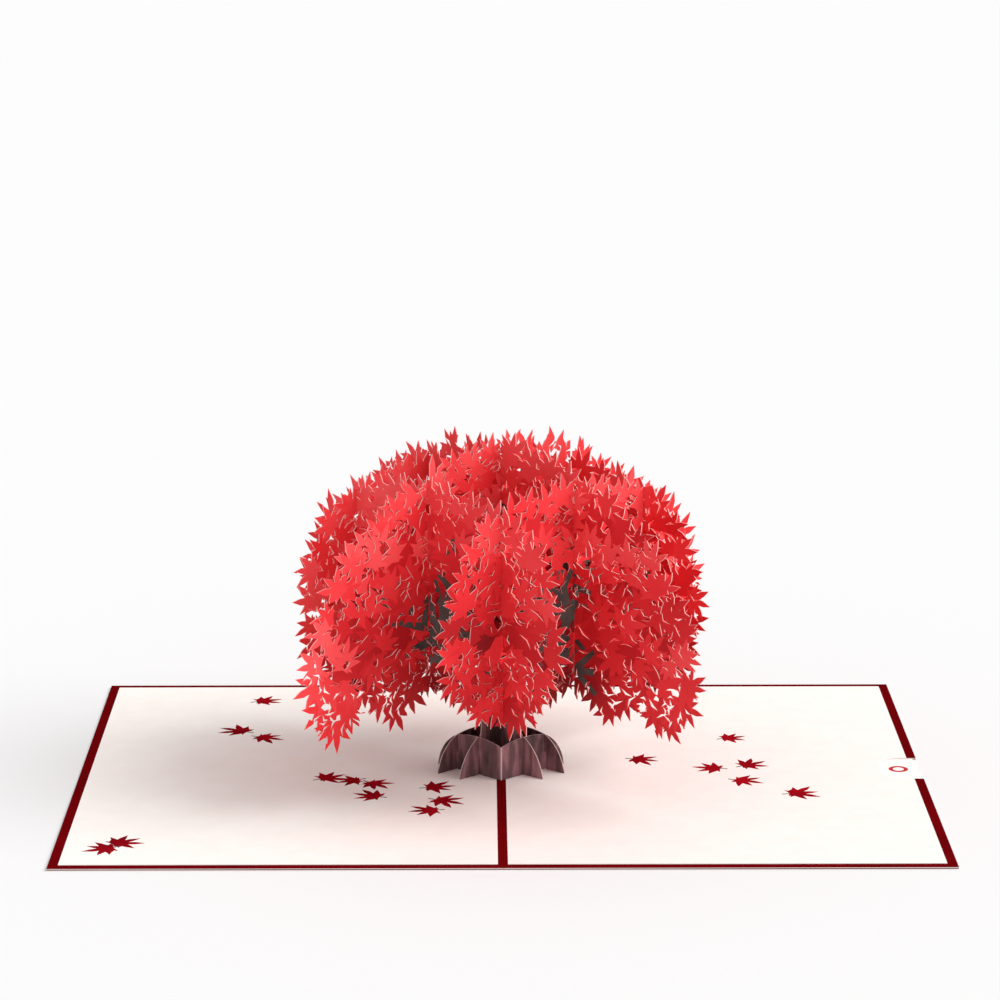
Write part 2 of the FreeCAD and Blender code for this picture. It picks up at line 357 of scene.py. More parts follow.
def strewn(line, pitch, bare, draw):
    """Points inside a closed line in staggered rows, each moved a little at random."""
    xs = [p[0] for p in line]
    zs = [p[1] for p in line]
    found = []
    for row in range(int((max(zs) - min(zs)) / (ROW_SHARE * pitch)) + 1):
        for step in range(int((max(xs) - min(xs)) / pitch) + 1):
            drift = ROW_DRIFT * pitch
            x = min(xs) + (step + 0.5 * (row % 2)) * pitch + draw.uniform(-drift, drift)
            z = min(zs) + row * ROW_SHARE * pitch + draw.uniform(-drift, drift)
            if inside(x, z, line) and (abs(x) > bare or z > FIRST_LEAF):
                found.append((x, z))
    return found


def arc_points(first, bend, last, count):
    """Points along the circle through three points."""
    (x0, z0), (x1, z1), (x2, z2) = first, bend, last
    d = 2 * (x0 * (z1 - z2) + x1 * (z2 - z0) + x2 * (z0 - z1))
    s0, s1, s2 = x0 * x0 + z0 * z0, x1 * x1 + z1 * z1, x2 * x2 + z2 * z2
    cx = (s0 * (z1 - z2) + s1 * (z2 - z0) + s2 * (z0 - z1)) / d
    cz = (s0 * (x2 - x1) + s1 * (x0 - x2) + s2 * (x1 - x0)) / d
    radius = math.dist((cx, cz), first)
    a0 = math.atan2(z0 - cz, x0 - cx)
    a1 = math.atan2(z2 - cz, x2 - cx)
    return [(cx + radius * math.cos(a0 + (a1 - a0) * i / count),
             cz + radius * math.sin(a0 + (a1 - a0) * i / count)) for i in range(count + 1)]


def trunk_outline():
    """Trunk with a round root fin at each side of its foot."""
    shoulder = GROUND + ROOT_HEIGHT
    bend = (TRUNK_HALF + ROOT_BULGE_OUT * (ROOT_REACH - TRUNK_HALF),
            GROUND + ROOT_BULGE_UP * ROOT_HEIGHT)
    right = arc_points((ROOT_REACH, GROUND), bend, (TRUNK_HALF, shoulder), ROOT_STEPS)
    right += [(TRUNK_NECK, TRUNK_WAIST), (TRUNK_HALF, TRUNK_TOP)]
    return right + [(-x, z) for x, z in reversed(right)]


def shaded_trunk_side():
    """Left side of the trunk, darker than the rest as painted shade, where the crossing sheet's trunk
    keeps the light off.
    """
    foot = GROUND + SHADED_FOOT
    return [(0, foot), (0, TRUNK_TOP), (-TRUNK_HALF, TRUNK_TOP), (-TRUNK_NECK, TRUNK_WAIST),
            (-TRUNK_HALF, GROUND + ROOT_HEIGHT), (-TRUNK_HALF + SHADED_INSET, foot)]


def notch_outline():
    """Round-ended notch in the fore edge, from outside the edge inwards."""
    centre = HALF_WIDTH - NOTCH_DEPTH + NOTCH_CORNER
    points = [(HALF_WIDTH + OVERCUT, -NOTCH_HALF), (HALF_WIDTH + OVERCUT, NOTCH_HALF)]
    for start, y in ((90, NOTCH_HALF - NOTCH_CORNER), (180, -NOTCH_HALF + NOTCH_CORNER)):
        for i in range(NOTCH_STEPS + 1):
            a = math.radians(start + 90 * i / NOTCH_STEPS)
            points.append((centre + NOTCH_CORNER * math.cos(a), y + NOTCH_CORNER * math.sin(a)))
    return points


def foot_slit_outlines(turn):
    """Slits for the root folds' tabs on one half, as the CAD sheets have them."""
    found = []
    x0 = turn * TAB_PLACE - FOOT_SLIT_HALF_LENGTH
    x1 = turn * TAB_PLACE + FOOT_SLIT_HALF_LENGTH
    half = FOOT_SLIT_HALF_WIDTH
    for side in (-1, 1):
        a = -side * turn * LATTICE_ANGLE
        ridge = side * 2 * ROOT_CELL_ALONG
        corners = []
        for x, y in ((x0, -half), (x1, -half), (x1, half), (x0, half)):
            corners.append((math.cos(a) * x - math.sin(a) * y,
                            math.sin(a) * x + math.cos(a) * y + ridge))
        found.append(corners)
    return found


# Foliage


def branches(half, top, middle, draw):
    """Printed branches that fan out from the trunk's head, and the thin twigs on them."""
    strokes, twigs = [], []
    widths = BRANCH_WIDTHS if middle else OUTER_BRANCH_WIDTHS
    for spread in MIDDLE_SPREADS if middle else OUTER_SPREADS:
        a = math.radians(90 - spread + draw.uniform(-5, 5))
        length = min(half, top) * draw.uniform(*BRANCH_LENGTHS) * (1 - 0.005 * abs(spread))
        stride = length / BRANCH_STEPS
        points = [(0.0, BRANCH_HEAD) if middle else (draw.uniform(-10, 10), OUTER_BRANCH_HEAD)]
        for i in range(BRANCH_STEPS):
            x, z = points[-1]
            b = a + draw.uniform(-BRANCH_BEND, BRANCH_BEND)
            points.append((x + stride * math.cos(b), z + stride * math.sin(b)))
            if i < 2:
                continue
            for side in (-1, 1):
                c = b + side * draw.uniform(*TWIG_TURNS)
                tip = (x + TWIG_LENGTH * math.cos(c), z + TWIG_LENGTH * math.sin(c))
                twigs.append(branch_outline([(x, z), tip], *TWIG_WIDTHS))
        strokes.append(branch_outline(points, *widths))
    return strokes, twigs


def toned_clusters(line, half, spring, rise, shades, draw):
    """Clusters of leaves as x, z and tone, with painted light and shade: lightest at the rim, darkest low
    down by the trunk.
    """
    low_shade, trunk_shade = shades
    found = []
    for x, z in strewn(line, CLUSTER_PITCH, 0, draw):
        outward = min(1.0, math.hypot(x / half, (z - spring) / rise))
        shade = low_shade if z < spring else 0.0
        if z < spring + SHADE_RISE:
            shade += trunk_shade * max(0.0, 1 - abs(x) / SHADE_REACH)
        tone = INNER_TONE + RIM_TONE * outward - shade
        found.append((x, z, tone + draw.uniform(-CLUSTER_SPREAD, CLUSTER_SPREAD)))
    return found


def cluster_tone(x, z, clusters, draw):
    """Painted light and shade: leaves are lighter at the top of each cluster and darker at its foot."""
    _, middle, base = min(clusters, key=lambda c: math.dist((x, z), c[:2]))
    lift = max(-1.0, min(1.0, (z - middle) / CLUSTER_HALF))
    return base + CLUSTER_LIFT * lift + draw.uniform(-LEAF_SPREAD, LEAF_SPREAD)


def leaf_places(line, spring, bare, sizes, draw):
    """Centre, turn and reach of every leaf: on the rim, over the field, and small ones low down."""
    rim_reach, field_reach = sizes.rim_reach / MM, sizes.field_reach / MM
    field_pitch = sizes.field_pitch / MM
    leaves = []
    for x, z, outward in evenly(line, sizes.rim_pitch / MM):
        if abs(x) > bare + 2 or z > spring:
            leaves.append((x + draw.uniform(-RIM_WANDER, RIM_WANDER),
                           z + draw.uniform(-RIM_WANDER, RIM_WANDER),
                           outward + draw.uniform(-RIM_TURN, RIM_TURN),
                           rim_reach * draw.uniform(*RIM_SIZES)))
    for x, z in strewn(line, field_pitch, bare, draw):
        if z > spring + 8:
            turn = 90 + draw.uniform(-UPRIGHT_TURN, UPRIGHT_TURN)
        else:
            turn = -90 + draw.uniform(-HANGING_TURN, HANGING_TURN)
        leaves.append((x, z, turn, field_reach * draw.uniform(*FIELD_SIZES)))
    for x, z in strewn(line, field_pitch * LOW_PITCH, bare, draw):
        if z < spring + 2:
            turn = -90 + draw.uniform(-LOW_TURN, LOW_TURN)
            leaves.append((x, z, turn, field_reach * draw.uniform(*LOW_SIZES)))
    return leaves


def slot_holes(middle, from_below, top):
    """Half-lap slots for the sheets that cross, and for the root folds on a middle sheet."""
    lap = GROUND + LAP_HEIGHT
    low, high = (0, lap) if from_below else (lap, top)
    holes = [slot_outline(k * CELL_SIDE, low, high) for k in (-1, 0, 1)]
    if middle:
        for side in (-1, 1):
            holes.append(slot_outline(side * ROOT_SIDE, GROUND + FOLD_CROWN / 2,
                                      GROUND + FOLD_CROWN + 2 * OVERCUT))
    return holes


def foliage_mesh(name, middle, from_below, sizes):
    """One foliage sheet, drawn flat: leaves over branches, slits and gaps between them, slots."""
    draw = random.Random(name)
    shape = MIDDLE if middle else OUTER
    half, spring, rise = shape[:3]
    line = rim(*shape)
    bare = TRUNK_HALF + BARE_SIDE if middle else 0
    shades = MIDDLE_SHADES if middle else OUTER_SHADES
    clusters = toned_clusters(line, half, spring, rise, shades, draw)
    # Painted shade: the core field's deeper red shows between the leaves
    fields, tones = [inset(line, CORE_PITCH, CORE_INSET)], [(CORE_TONE, LEAF)]
    if middle:
        fields.extend((trunk_outline(), shaded_trunk_side()))
        # Painted shade: the trunk's left side gets tone 0, which the bark material darkens
        tones.extend(((1.0, BARK), (0.0, BARK)))
    strokes, twigs = branches(half, spring + rise - BRANCH_HEAD, middle, draw)
    leaves = [(cluster_tone(x, z, clusters, draw), x, z, turn, reach)
              for x, z, turn, reach in leaf_places(line, spring, bare, sizes, draw)]
    leaves.sort(key=lambda leaf: leaf[0] + draw.uniform(0.0, LEAF_SHUFFLE))
    behind = {int(len(leaves) * LEAVES_BEHIND_BRANCHES): strokes,
              int(len(leaves) * LEAVES_BEHIND_TWIGS): twigs}
    holes = []
    for i, (tone, x, z, turn, reach) in enumerate(leaves):
        printed = behind.get(i, [])
        fields.extend(printed)
        tones.extend([(0.0, BRANCH)] * len(printed))
        fields.append(leaf_outline(x, z, turn, reach, draw))
        tones.append((tone, LEAF))
        if z > spring or draw.random() < LOW_SLIT_SHARE:
            holes.extend(lobe_slits(x, z, turn, reach, draw))
    for x, z in strewn(line, GAP_PITCH, bare, draw):
        holes.append(gap_outline(x, z, draw.uniform(*GAP_SIZES), draw))
    holes.extend(slot_holes(middle, from_below, spring + rise + SLOT_START))
    return sheet_mesh(name, fields, holes, TREE_PAPER, tones, EDGE)


# Sheets and pieces


def arrangement(fields, holes):
    """Triangles of overlapping outlines. Each has the number of the last field that covers it."""
    points, faces = [], []
    for outline in fields + holes:
        faces.append(list(range(len(points), len(points) + len(outline))))
        points.extend(Vector(p) for p in outline)
    verts, _, tris, _, _, origins = delaunay_2d_cdt(points, [], faces, 1, 1e-4, True)
    kept = []
    for tri, origin in zip(tris, origins):
        if origin and max(origin) < len(fields):
            kept.append((tri, max(origin)))
    return verts, kept


def drop_scraps(bm):
    """Keep the largest connected group of faces and the points they use."""
    left = set(bm.faces)
    groups = []
    while left:
        start = left.pop()
        group, queue = {start}, [start]
        while queue:
            for edge in queue.pop().edges:
                for other in edge.link_faces:
                    if other in left:
                        left.remove(other)
                        group.add(other)
                        queue.append(other)
        groups.append(group)
    keep = max(groups, key=len)
    bmesh.ops.delete(bm, geom=[f for f in bm.faces if f not in keep], context="FACES")
    loose = [v for v in bm.verts if not v.link_faces]
    bmesh.ops.delete(bm, geom=loose, context="VERTS")


def sheet_mesh(name, fields, holes, paper, tones, edge_slot):
    """Solid sheet in the XZ plane, in metres. tones gives each field's tone and material."""
    verts, kept = arrangement(fields, holes)
    bm = bmesh.new()
    tone = bm.faces.layers.float.new("tone")
    made = [bm.verts.new((v.x * MM, -paper / 2 * MM, v.y * MM)) for v in verts]
    for tri, field in kept:
        face = bm.faces.new([made[i] for i in tri])
        face[tone] = tones[field][0]
        face.material_index = tones[field][1]
    drop_scraps(bm)
    grown = bmesh.ops.extrude_face_region(bm, geom=list(bm.faces), use_keep_orig=True)
    moved = [g for g in grown["geom"] if isinstance(g, bmesh.types.BMVert)]
    bmesh.ops.translate(bm, verts=moved, vec=(0, paper * MM, 0))
    bmesh.ops.recalc_face_normals(bm, faces=bm.faces)
    for face in bm.faces:
        face.normal_update()
        if abs(face.normal.y) < 0.5:
            face.material_index = edge_slot
    mesh = bpy.data.meshes.new(name)
    bm.to_mesh(mesh)
    bm.free()
    return mesh


def turned(mesh, family, row):
    """Turn a flat sheet's mesh to its family's direction and move it to its row."""
    side = 1 if family == "b" else -1
    angle = side * LATTICE_ANGLE
    c, s = math.cos(angle), math.sin(angle)
    dx, dy = row * CELL_ACROSS * MM, -side * row * CELL_ALONG * MM
    for v in mesh.vertices:
        x, y, z = v.co
        v.co = (c * x - s * y + dx, s * x + c * y + dy, z)
    mesh.update()
    return mesh


def add_piece(name, mesh, materials, body, *nodes):
    """New object that rides on a body and stands for CAD nodes."""
    for material in materials:
        mesh.materials.append(material)
    piece = bpy.data.objects.new(name, mesh)
    bpy.context.scene.collection.objects.link(piece)
    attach(piece, body)
    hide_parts(*nodes)
    return piece


# Materials


def node(tree, kind, settings=None, inputs=None):
    """Add a node with its properties and its inputs, which are sockets to link or plain values.

    The stops of a colour ramp are one of its settings.
    """
    made = tree.nodes.new(kind)
    for key, value in (settings or {}).items():
        if key == "stops":
            elements = made.color_ramp.elements
            elements[0].position, elements[0].color = value[0]
            elements[1].position, elements[1].color = value[-1]
            for position, colour in value[1:-1]:
                elements.new(position).color = colour
        else:
            setattr(made, key, value)
    for key, value in (inputs or {}).items():
        if isinstance(value, bpy.types.NodeSocket):
            tree.links.new(value, made.inputs[key])
        else:
            made.inputs[key].default_value = value
    return made


def scale(size):
    """Noise scale for features of a size in millimetres."""
    return 1 / (size * MM)


def new_material(name, roughness, specular=0.15):
    """Material with its tree, its shader and the coordinates that its patterns read."""
    material = bpy.data.materials.new(name)
    material.use_nodes = True
    tree = material.node_tree
    shader = tree.nodes["Principled BSDF"]
    shader.inputs["Roughness"].default_value = roughness
    shader.inputs["Specular IOR Level"].default_value = specular
    place = node(tree, "ShaderNodeTexCoord").outputs["Object"]
    return material, tree, shader, place


def finish_paper(tree, shader, place, colour, strength=0.25):
    """Colour of a card. Its fibres are drawn as coarse as 0.4 mm, to show a faint unevenness."""
    tree.links.new(colour, shader.inputs["Base Color"])
    fibres = node(tree, "ShaderNodeTexNoise", {}, {"Vector": place, "Scale": scale(0.4), "Detail": 3.0})
    bump = node(tree, "ShaderNodeBump", {}, {"Height": fibres.outputs["Fac"], "Strength": strength,
                                             "Distance": 0.04 * MM})
    tree.links.new(bump.outputs["Normal"], shader.inputs["Normal"])


def plain_paper(name, colour, variation, roughness=0.75):
    """Uncoated paper stock: matt, nearly even, with fibre mottle about 7 mm across."""
    material, tree, shader, place = new_material(name, roughness)
    mottle = node(tree, "ShaderNodeTexNoise", {}, {"Vector": place, "Scale": scale(7.14), "Detail": 4.0})
    tint = node(tree, "ShaderNodeValToRGB", {"stops": [(0.3, variation), (0.7, colour)]},
                {"Fac": mottle.outputs["Fac"]})
    finish_paper(tree, shader, place, tint.outputs["Color"])
    return material


def edged_print(name, printed, deeper, edge):
    """Card printed on its flat faces, with the pale core showing on its cut edges."""
    material, tree, shader, place = new_material(name, 0.8, 0.0)
    mottle = node(tree, "ShaderNodeTexNoise", {}, {"Vector": place, "Scale": scale(16.67), "Detail": 5.0})
    ink = node(tree, "ShaderNodeValToRGB", {"stops": [(0.35, deeper), (0.65, printed)]},
               {"Fac": mottle.outputs["Fac"]})
    normal = node(tree, "ShaderNodeNewGeometry").outputs["True Normal"]
    z = node(tree, "ShaderNodeSeparateXYZ", {}, {"Vector": normal}).outputs["Z"]
    upward = node(tree, "ShaderNodeMath", {"operation": "ABSOLUTE"}, {0: z})
    flat = node(tree, "ShaderNodeMapRange", {}, {"Value": upward.outputs[0], "From Min": 0.4,
                                                 "From Max": 0.6})
    colour = node(tree, "ShaderNodeMix", {"data_type": "RGBA"},
                  {0: flat.outputs["Result"], 6: edge, 7: ink.outputs["Color"]})
    finish_paper(tree, shader, place, colour.outputs[2])
    return material


def leaf_print(settings):
    """Watercolour maple leaves printed on card: each leaf has its own red, mottled like a wash, and its
    tone also carries painted light and shade.
    """
    material, tree, shader, place = new_material("printed_leaf_with_painted_light_and_shade", 0.6, 0.2)
    tone = node(tree, "ShaderNodeAttribute", {"attribute_name": "tone"}).outputs["Fac"]
    wash = node(tree, "ShaderNodeTexNoise", {}, {"Vector": place, "Scale": scale(18.18), "Detail": 5.0})
    patch = node(tree, "ShaderNodeTexNoise", {}, {"Vector": place, "Scale": scale(45.45), "Detail": 2.0})
    shift = node(tree, "ShaderNodeMath", {"operation": "MULTIPLY_ADD"},
                 {0: wash.outputs["Fac"], 1: 0.30, 2: -0.15})
    drift = node(tree, "ShaderNodeMath", {"operation": "MULTIPLY_ADD"},
                 {0: patch.outputs["Fac"], 1: 0.7, 2: -0.35})
    shifted = node(tree, "ShaderNodeMath", {"operation": "ADD"}, {0: tone, 1: shift.outputs[0]})
    value = node(tree, "ShaderNodeMath", {"operation": "ADD"},
                 {0: shifted.outputs[0], 1: drift.outputs[0]})
    stops = [(0.0, settings.leaf_deep), (0.35, settings.leaf_dark), (0.65, settings.leaf_red),
             (1.0, settings.leaf_light)]
    colour = node(tree, "ShaderNodeValToRGB", {"stops": stops}, {"Fac": value.outputs[0]})
    finish_paper(tree, shader, place, colour.outputs["Color"])
    return material


def bark_colour(tree, place, settings):
    """Bark ink: streaks about 3 mm wide and 17 mm long that lean as they run up the trunk."""
    stretch = node(tree, "ShaderNodeMapping", {},
                   {"Vector": place, "Rotation": (0.0, 0.35, 0.0),
                    "Scale": (scale(3.03), scale(3.03), scale(16.67))})
    streaks = node(tree, "ShaderNodeTexNoise", {},
                   {"Vector": stretch.outputs["Vector"], "Scale": 1.0, "Detail": 3.0,
                    "Distortion": 0.6})
    blotch = node(tree, "ShaderNodeTexNoise", {}, {"Vector": place, "Scale": scale(9.09), "Detail": 3.0})
    spots = node(tree, "ShaderNodeMath", {"operation": "MULTIPLY"}, {0: blotch.outputs["Fac"], 1: 0.35})
    value = node(tree, "ShaderNodeMath", {"operation": "MULTIPLY_ADD"},
                 {0: streaks.outputs["Fac"], 1: 0.65, 2: spots.outputs[0]})
    stops = [(0.36, settings.bark_dark), (0.5, settings.bark_mid), (0.64, settings.bark_light)]
    return node(tree, "ShaderNodeValToRGB", {"stops": stops}, {"Fac": value.outputs[0]}).outputs["Color"]


def bark_print(settings):
    """Bark printed on the trunks of the middle sheets, with painted shade: its tone is low on the trunk's
    left side, which is darkened.
    """
    material, tree, shader, place = new_material("printed_bark_with_painted_shade", 0.6)
    bark = bark_colour(tree, place, settings)
    tone = node(tree, "ShaderNodeAttribute", {"attribute_name": "tone"}).outputs["Fac"]
    # Painted shade: the bark darkened by a greyish pink, used where the tone is 0
    shaded = node(tree, "ShaderNodeMix", {"data_type": "RGBA", "blend_type": "MULTIPLY"},
                  {0: 1.0, 6: bark, 7: linear("#D0BCB8")})
    colour = node(tree, "ShaderNodeMix", {"data_type": "RGBA"}, {0: tone, 6: shaded.outputs[2], 7: bark})
    finish_paper(tree, shader, place, colour.outputs[2])
    return material


def folded_bark_print(settings):
    """Bark printed on a folded strip: pale on cut edges and where the ink cracks at the fold."""
    material, tree, shader, place = new_material("printed_bark_fold", 0.6)
    bark = bark_colour(tree, place, settings)
    normal = node(tree, "ShaderNodeNewGeometry").outputs["True Normal"]
    wings = []
    for side in (-1, 1):
        way = (math.sin(LATTICE_ANGLE) * side, math.cos(LATTICE_ANGLE), 0)
        dot = node(tree, "ShaderNodeVectorMath", {"operation": "DOT_PRODUCT"}, {0: normal, 1: way})
        wing = node(tree, "ShaderNodeMath", {"operation": "ABSOLUTE"}, {0: dot.outputs["Value"]})
        wings.append(wing.outputs[0])
    either = node(tree, "ShaderNodeMath", {"operation": "MAXIMUM"}, {0: wings[0], 1: wings[1]})
    flat = node(tree, "ShaderNodeMapRange", {}, {"Value": either.outputs[0], "From Min": 0.96,
                                                 "From Max": 0.98})
    x = node(tree, "ShaderNodeSeparateXYZ", {}, {"Vector": place}).outputs["X"]
    away = node(tree, "ShaderNodeMath", {"operation": "ABSOLUTE"}, {0: x})
    off_ridge = node(tree, "ShaderNodeMapRange", {}, {"Value": away.outputs[0], "From Min": 0.18 * MM,
                                                      "From Max": 0.26 * MM})
    shown = node(tree, "ShaderNodeMath", {"operation": "MULTIPLY"},
                 {0: flat.outputs["Result"], 1: off_ridge.outputs["Result"]})
    colour = node(tree, "ShaderNodeMix", {"data_type": "RGBA"},
                  {0: shown.outputs[0], 6: settings.bark_edge, 7: bark})
    finish_paper(tree, shader, place, colour.outputs[2])
    return material


def note_paper(settings):
    """Smooth white writing paper with a small plain printed ring at the pull end."""
    material, tree, shader, place = new_material("smooth_note_paper", 0.6)
    centre = (-(NOTE_END - RING_INSET) * MM, 0, 0)
    moved = node(tree, "ShaderNodeMapping", {}, {"Vector": place, "Location": centre})
    level = node(tree, "ShaderNodeVectorMath", {"operation": "MULTIPLY"},
                 {0: moved.outputs["Vector"], 1: (1, 1, 0)})
    apart = node(tree, "ShaderNodeVectorMath", {"operation": "LENGTH"}, {0: level.outputs["Vector"]})
    past = node(tree, "ShaderNodeMath", {"operation": "SUBTRACT"},
                {0: apart.outputs["Value"], 1: RING_RADIUS * MM})
    off = node(tree, "ShaderNodeMath", {"operation": "ABSOLUTE"}, {0: past.outputs[0]})
    ring = node(tree, "ShaderNodeMapRange", {},
                {"Value": off.outputs[0], "From Min": (RING_HALF + RING_BLUR) * MM,
                 "From Max": (RING_HALF - RING_BLUR) * MM})
    colour = node(tree, "ShaderNodeMix", {"data_type": "RGBA"},
                  {0: ring.outputs["Result"], 6: linear("#FBFAF6"), 7: settings.ring_red})
    finish_paper(tree, shader, place, colour.outputs[2], 0.1)
    return material


def floor_material():
    """Matt white backdrop paper: it reads as white to the camera and still takes the card's shadow."""
    material, _, shader, _ = new_material("studio_floor_paper", 0.9, 0.0)
    shader.inputs["Base Color"].default_value = linear("#F2F2F2")
    return material


# Light


def set_world(scene):
    """White all round: dimmer as light on the card than it looks to the camera."""
    world = bpy.data.worlds.new("studio")
    scene.world = world
    world.use_nodes = True
    tree = world.node_tree
    back = tree.nodes["Background"]
    back.inputs["Color"].default_value = linear("#FFFFFF")
    path = node(tree, "ShaderNodeLightPath").outputs
    seen = node(tree, "ShaderNodeMath", {"operation": "MAXIMUM"},
                {0: path["Is Camera Ray"], 1: path["Is Glossy Ray"]})
    seen = node(tree, "ShaderNodeMath", {"operation": "MAXIMUM"},
                {0: seen.outputs[0], 1: path["Is Transmission Ray"]})
    strength = node(tree, "ShaderNodeMapRange", {},
                    {"Value": seen.outputs[0], "To Min": WORLD_LIGHT, "To Max": WORLD_SEEN})
    tree.links.new(strength.outputs["Result"], back.inputs["Strength"])


def add_sun(scene):
    """Light as from a large window on the right."""
    data = bpy.data.lights.new("key", "SUN")
    data.angle = math.radians(SUN_SPREAD)
    data.energy = SUN_STRENGTH
    lamp = bpy.data.objects.new("key", data)
    lamp.location = SUN_TOWARDS
    lamp.rotation_euler = (-Vector(SUN_TOWARDS)).to_track_quat("-Z", "Y").to_euler()
    scene.collection.objects.link(lamp)


# Settings


def colour_setting(label, text, code):
    """Colour that a user can change, with an sRGB hex code for its default."""
    return bpy.props.FloatVectorProperty(name=label, description=text, subtype="COLOR", size=4,
                                         min=0.0, max=1.0, default=linear(code))


class CardColours(bpy.types.PropertyGroup):
    """Printed colours"""

    leaf_light: colour_setting("Light leaf", "Lightest wash of the leaves", "#FF575A")
    leaf_red: colour_setting("Red leaf", "Main red of the leaves", "#EF3137")
    leaf_dark: colour_setting("Dark leaf", "Darker leaves behind", "#CB1B22")
    leaf_deep: colour_setting("Deep leaf", "Deepest leaves in the gaps", "#820B13")
    leaf_edge: colour_setting("Leaf edge", "Cut edge of the leaf card", "#FFC9C4")
    bark_light: colour_setting("Light bark", "Light streaks of the bark", "#A4757A")
    bark_mid: colour_setting("Bark", "Main colour of the bark", "#745255")
    bark_dark: colour_setting("Dark bark", "Dark streaks of the bark", "#4C3B3B")
    branch_grey: colour_setting("Branch", "Branches printed between the leaves", "#5C5753")
    bark_edge: colour_setting("Bark edge", "Cut edge of the bark card", "#D9BDB9")
    border_red: colour_setting("Border", "Border and spine band", "#72060C")
    cover_red: colour_setting("Cover", "Outside of the cover", "#6B2326")
    liner_cream: colour_setting("Liner", "Cream liner paper", "#FFFAF5")
    print_red: colour_setting("Scattered leaves", "Leaves printed on the liners", "#B0101E")
    ring_red: colour_setting("Ring", "Ring on the note card", "#C21728")


class FoliageSizes(bpy.types.PropertyGroup):
    """How the leaves are strewn over the foliage sheets."""

    rim_pitch: bpy.props.FloatProperty(
        name="Rim pitch", description="Step between leaves along the outline", default=0.0074,
        unit="LENGTH")
    rim_reach: bpy.props.FloatProperty(
        name="Rim leaf", description="Reach of a leaf on the outline", default=0.0079,
        unit="LENGTH")
    field_pitch: bpy.props.FloatProperty(
        name="Field pitch", description="Distance between leaf centres inside the outline",
        default=0.0066, unit="LENGTH")
    field_reach: bpy.props.FloatProperty(
        name="Field leaf", description="Reach of a leaf inside", default=0.0080, unit="LENGTH")


# Operators


class CARD_OT_sheets(bpy.types.Operator):
    """Print the cover and inner sheet, and finish the glue pieces and the note card"""

    bl_idname = "card.sheets"
    bl_label = "Card Sheets"

    def execute(self, context):
        colours = context.scene.card_colours
        # Matt card with an even dark red ink: deeper inside than on the cover
        border = edged_print("printed_card_border", colours.border_red, linear("#66050A"),
                             linear("#F6DEDB"))
        outside = edged_print("printed_card_cover", colours.cover_red, linear("#632023"),
                              linear("#F4E2E0"))
        # Double-sided tissue tape: milky white and matt
        tape = plain_paper("double_sided_tape", linear("#F6F4F0"), linear("#F0EEEA"))
        finishes = {"cover": outside, "inner_sheet": border, "left_glue_frame": tape,
                    "pocket_glue_strip": tape, "note_card": note_paper(colours)}
        for name, material in finishes.items():
            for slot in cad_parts[name].material_slots:
                slot.material = material
        return {"FINISHED"}


class CARD_OT_liners(bpy.types.Operator):
    """Lay the cream liners with their scattered printed leaves"""

    bl_idname = "card.liners"
    bl_label = "Liners"

    def execute(self, context):
        colours = context.scene.card_colours
        # Uncoated cream paper, with red ink that is a little uneven and grey-brown stems
        cream = plain_paper("cream_liner_paper", colours.liner_cream, linear("#FDF6F0"))
        red = edged_print("printed_scatter_leaf", colours.print_red, linear("#7C0914"),
                          linear("#A3141F"))
        stem = plain_paper("printed_stem", linear("#4A3A36"), linear("#3E302D"))
        draw = random.Random("scattered leaves")
        for name, turn, prints in (("left_liner", -1, LEFT_PRINTS), ("right_liner", 1, RIGHT_PRINTS)):
            x0, x1 = sorted((turn * SPINE_HALF, turn * LINER_END))
            panel = [(x0, -LINER_SIDE), (x1, -LINER_SIDE), (x1, LINER_SIDE), (x0, LINER_SIDE)]
            fields, tones = [panel], [(0.0, PAPER)]
            for x, y, angle, reach in prints:
                a = math.radians(angle + 180)
                end = (x + STEM_SHARE * reach * math.cos(a), y + STEM_SHARE * reach * math.sin(a))
                fields.append(branch_outline([(x, y), end], *STEM_WIDTHS))
                tones.append((0.0, STEM))
                fields.append(leaf_outline(x, y, angle, reach, draw))
                tones.append((0.0, PRINT))
            holes = foot_slit_outlines(turn)
            if turn > 0:
                holes.append(notch_outline())
            mesh = sheet_mesh(name + "_print", fields, holes, GROUND - LINER_BASE, tones, PAPER)
            middle = (GROUND + LINER_BASE) / 2 * MM
            for v in mesh.vertices:
                x, y, z = v.co
                v.co = (x, z, middle - y)
            mesh.update()
            add_piece(name + "_paper", mesh, [cream, red, stem], "card", name)
        return {"FINISHED"}


class CARD_OT_foliage(bpy.types.Operator):
    """Cut the six slotted foliage sheets, leaf by leaf"""

    bl_idname = "card.foliage"
    bl_label = "Foliage Sheets"

    def execute(self, context):
        colours = context.scene.card_colours
        sizes = context.scene.card_foliage
        leaf = leaf_print(colours)
        bark = bark_print(colours)
        # Knife-cut card: its white core, tinted by the ink beside it, draws a pale line
        edge = plain_paper("cut_edge_leaf_card", colours.leaf_edge, linear("#F4AFAA"), 0.8)
        root_edge = plain_paper("cut_edge_bark_card", colours.bark_edge, linear("#C9ABA8"), 0.8)
        # Matt grey-brown ink of the branches that show between the leaves
        branch = plain_paper("printed_branch_card", colours.branch_grey, linear("#3D3A38"), 0.6)
        for family in ("a", "b"):
            for place, row in ROWS.items():
                name = "foliage_" + family + "_" + place
                mesh = foliage_mesh(name, row == 0, family == "a", sizes)
                for face in mesh.polygons:
                    if face.material_index == EDGE and face.center.z < ROOT_EDGE_TOP * MM:
                        face.material_index = ROOT_EDGE
                add_piece(name + "_leaves", turned(mesh, family, row),
                          [leaf, bark, edge, branch, root_edge], "card", name)
        return {"FINISHED"}


class CARD_OT_roots(bpy.types.Operator):
    """Print bark on the two root folds"""

    bl_idname = "card.roots"
    bl_label = "Root Folds"

    def execute(self, context):
        bark = folded_bark_print(context.scene.card_colours)
        for name in ("front_root_fold", "back_root_fold"):
            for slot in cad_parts[name].material_slots:
                slot.material = bark
        return {"FINISHED"}


